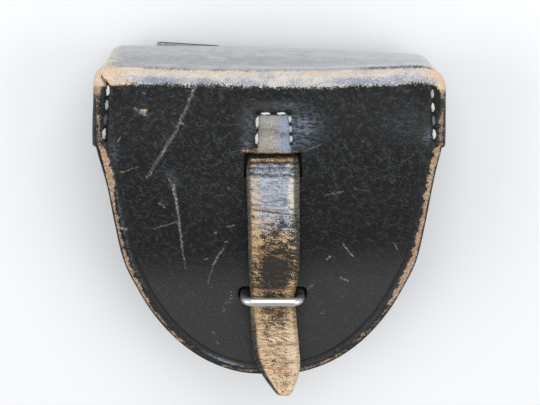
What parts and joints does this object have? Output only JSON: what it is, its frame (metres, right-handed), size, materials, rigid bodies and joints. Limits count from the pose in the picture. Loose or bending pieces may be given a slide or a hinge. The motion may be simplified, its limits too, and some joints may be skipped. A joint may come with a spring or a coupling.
{
  "type": "leather belt pouch",
  "caption": "Small stiff leather belt pouch with a half-round front flap, closed by a strap under a steel wire staple, with belt loops on its back.",
  "frame": {"origin": "middle of the outline, on the surface that the pouch lies on, under the belt loops", "axes": "+Z out of the front flap, +Y from the strap's tip towards the lid, +X to the right seen from the front"},
  "size_m": [0.1278, 0.1284, 0.058],
  "materials": {
    "cover_leather": "black, semi-gloss, worn to tan on the lid's front edge and round the flap's rim",
    "body_leather": "black-brown, dull",
    "strap_leather": "black worn through to tan, cracked",
    "loop_leather": "black, semi-gloss",
    "staple_steel": "worn bright"
  },
  "bodies": {
    "root": {"cover": "cover_leather", "front_panel": "body_leather", "gusset": "body_leather", "closure_strap": "strap_leather", "staple": "staple_steel", "belt_loop_left": "loop_leather", "belt_loop_right": "loop_leather"}
  },
  "joints": []
}
